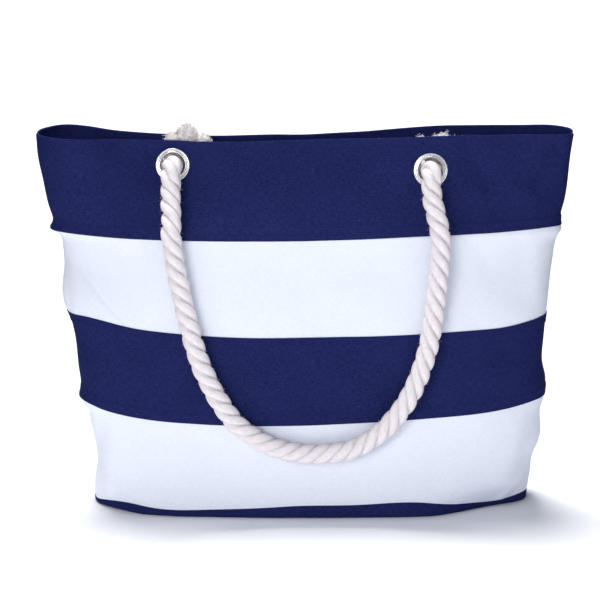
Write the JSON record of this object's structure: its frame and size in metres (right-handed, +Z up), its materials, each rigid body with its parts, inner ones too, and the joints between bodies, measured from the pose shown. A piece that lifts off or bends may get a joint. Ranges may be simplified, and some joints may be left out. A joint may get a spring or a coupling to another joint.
{
  "type": "striped canvas beach bag",
  "caption": "Open-topped beach tote of striped canvas on a flat oval base, with eyelets and rope handles that swing up for carrying; knots inside hold the ropes.",
  "frame": {"origin": "middle of the base, on the surface that the bag stands on", "axes": "+X across the bag from its left side seam to its right one, -Y to the front, +Z up"},
  "size_m": [0.506, 0.1896, 0.3665],
  "materials": {
    "navy_canvas": "matte dyed cotton canvas",
    "white_canvas": "matte bleached cotton canvas",
    "lining_cloth": "matte plain weave",
    "board": "matte",
    "nickel": "polished nickel",
    "cotton_rope": "matte soft cotton",
    "frayed_cotton": "matte loose cotton fibres"
  },
  "bodies": {
    "bag": {"front_top_band": "navy_canvas", "back_top_band": "navy_canvas", "front_upper_stripe": "white_canvas", "back_upper_stripe": "white_canvas", "front_middle_band": "navy_canvas", "back_middle_band": "navy_canvas", "front_lower_stripe": "white_canvas", "back_lower_stripe": "white_canvas", "base_panel": "navy_canvas", "base_board": "board", "front_facing": "navy_canvas", "back_facing": "navy_canvas", "front_lining": "lining_cloth", "back_lining": "lining_cloth", "base_lining": "lining_cloth", "inner_pocket": "lining_cloth", "front_left_eyelet": "nickel", "front_right_eyelet": "nickel", "back_left_eyelet": "nickel", "back_right_eyelet": "nickel", "front_left_washer": "nickel", "front_right_washer": "nickel", "back_left_washer": "nickel", "back_right_washer": "nickel", "front_left_rope_end": "cotton_rope", "front_right_rope_end": "cotton_rope", "back_left_rope_end": "cotton_rope", "back_right_rope_end": "cotton_rope", "front_left_knot": "cotton_rope", "front_right_knot": "cotton_rope", "back_left_knot": "cotton_rope", "back_right_knot": "cotton_rope", "front_left_tassel": "frayed_cotton", "front_right_tassel": "frayed_cotton", "back_left_tassel": "frayed_cotton", "back_right_tassel": "frayed_cotton"},
    "front_handle": {"front_rope": "cotton_rope"},
    "back_handle": {"back_rope": "cotton_rope"}
  },
  "joints": [
    {"name": "front_handle_swing", "type": "hinge", "parent": "bag", "child": "front_handle", "pos_m": [-0.0035, -0.0435, 0.326], "axis": [-0.998, 0.0621, 0.0083], "range_deg": [0, 173]},
    {"name": "back_handle_swing", "type": "hinge", "parent": "bag", "child": "back_handle", "pos_m": [-0.0035, 0.0435, 0.326], "axis": [0.998, 0.0621, -0.0083], "range_deg": [0, 173]}
  ]
}
